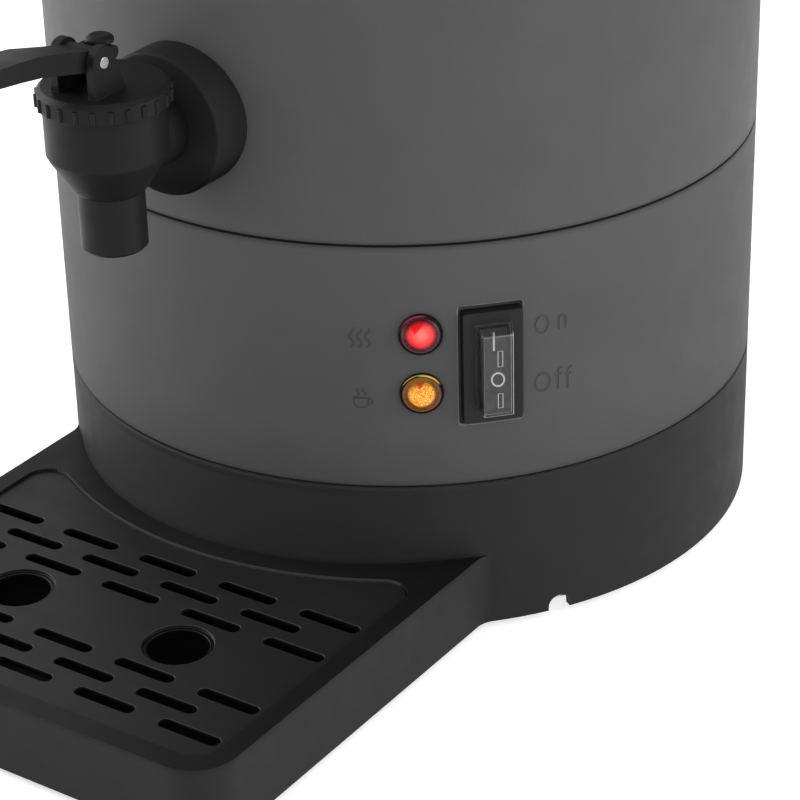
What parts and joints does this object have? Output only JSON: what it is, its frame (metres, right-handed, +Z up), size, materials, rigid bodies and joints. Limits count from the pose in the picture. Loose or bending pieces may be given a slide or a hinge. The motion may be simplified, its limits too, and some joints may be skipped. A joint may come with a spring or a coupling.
{
  "type": "hot water urn",
  "caption": "Double-walled hot water urn with a press-down tap, rocker switch with clear cover, two pilot lamps, drip tray with slotted grille, side handles and lift-off lid.",
  "frame": {"origin": "centre of the foot ring's underside, on the drum's axis", "axes": "+Z up along the drum's axis, -Y towards the tap and drip tray, +X to the right when looking at the tap"},
  "size_m": [0.334, 0.3845, 0.4747],
  "materials": {
    "housing_grey": "satin dark grey",
    "band_grey": "matte dark grey",
    "base_black": "fine matte black",
    "tray_black": "satin black",
    "tap_black": "satin black",
    "handle_black": "satin black",
    "rubber_black": "matte",
    "silicone_grey": "soft translucent",
    "steel": "brushed",
    "zinc_steel": "bright zinc",
    "aluminium": "cast",
    "brass": "turned",
    "switch_black": "satin black",
    "rocker_grey": "gloss dark grey",
    "clear_cover": "clear soft cover",
    "lamp_red": "clear red",
    "lamp_amber": "clear amber",
    "ceramic_white": "unglazed",
    "reset_red": "matte red"
  },
  "bodies": {
    "urn": {"base_skirt": "base_black", "base_plate": "zinc_steel", "base_screws": "zinc_steel", "foot_ring": "rubber_black", "control_band": "band_grey", "outer_barrel": "housing_grey", "inner_tank": "steel", "tie_rods": "zinc_steel", "tie_rod_nuts": "zinc_steel", "heat_spreader": "aluminium", "heating_element": "steel", "boil_thermostat": "ceramic_white", "keep_warm_thermostat": "ceramic_white", "dry_boil_cutout": "ceramic_white", "terminal_block": "ceramic_white", "earth_stud": "brass", "reset_housing": "switch_black", "top_collar": "handle_black", "handle_right": "handle_black", "handle_left": "handle_black", "handle_screws": "zinc_steel", "switch_housing": "switch_black", "rocker_pin": "zinc_steel", "switch_boot": "clear_cover", "switch_terminals": "brass", "red_lamp_holder": "switch_black", "red_lamp_lens": "lamp_red", "amber_lamp_holder": "switch_black", "amber_lamp_lens": "lamp_amber", "lamp_nuts": "switch_black", "inlet_housing": "switch_black", "inlet_pins": "brass", "inlet_screws": "zinc_steel", "tap_boss": "tap_black", "tap_sleeve": "tap_black", "tap_washer_outer": "silicone_grey", "tap_washer_inner": "silicone_grey", "tap_nut": "tap_black", "tap_body": "tap_black", "tap_bonnet": "tap_black", "lever_pin": "zinc_steel"},
    "lid": {"lid": "handle_black", "lid_seal": "silicone_grey", "lid_knob": "handle_black", "knob_screw": "zinc_steel"},
    "drip_tray": {"drip_tray": "tray_black"},
    "drip_grille": {"drip_grille": "tray_black"},
    "tap_lever": {"tap_lever": "tap_black"},
    "tap_stem": {"tap_stem": "tap_black", "tap_seat_cup": "silicone_grey", "tap_spring": "zinc_steel"},
    "rocker": {"switch_rocker": "rocker_grey"},
    "reset_button": {"reset_button": "reset_red"}
  },
  "joints": [
    {"name": "lid_lift", "type": "slide", "parent": "urn", "child": "lid", "axis": [0, 0, 1], "range_m": [0, 0.1]},
    {"name": "tray_lift", "type": "slide", "parent": "urn", "child": "drip_tray", "axis": [0, 0, 1], "range_m": [0, 0.08]},
    {"name": "grille_lift", "type": "slide", "parent": "drip_tray", "child": "drip_grille", "axis": [0, 0, 1], "range_m": [0, 0.03]},
    {"name": "lever_press", "type": "hinge", "parent": "urn", "child": "tap_lever", "pos_m": [0, -0.178, 0.2265], "axis": [1, 0, 0], "range_deg": [0, 25], "stiffness_Nm_per_rad": 0.16, "springref_deg": -34.38},
    {"name": "stem_lift", "type": "slide", "parent": "urn", "child": "tap_stem", "axis": [0, 0, 1], "range_m": [0, 0.0041], "deforming": ["tap_spring"]},
    {"name": "rocker_tilt", "type": "hinge", "parent": "urn", "child": "rocker", "pos_m": [0.09337, -0.08799, 0.10485], "axis": [0.6858, 0.7278, 0], "range_deg": [0, 16]},
    {"name": "reset_press", "type": "slide", "parent": "urn", "child": "reset_button", "axis": [0, 0, 1], "range_m": [0, 0.0015], "stiffness_N_per_m": 800, "springref_m": -0.001}
  ],
  "couplings": [
    {"joint": "stem_lift", "follows": "lever_press", "m_per_rad": 0.009}
  ]
}
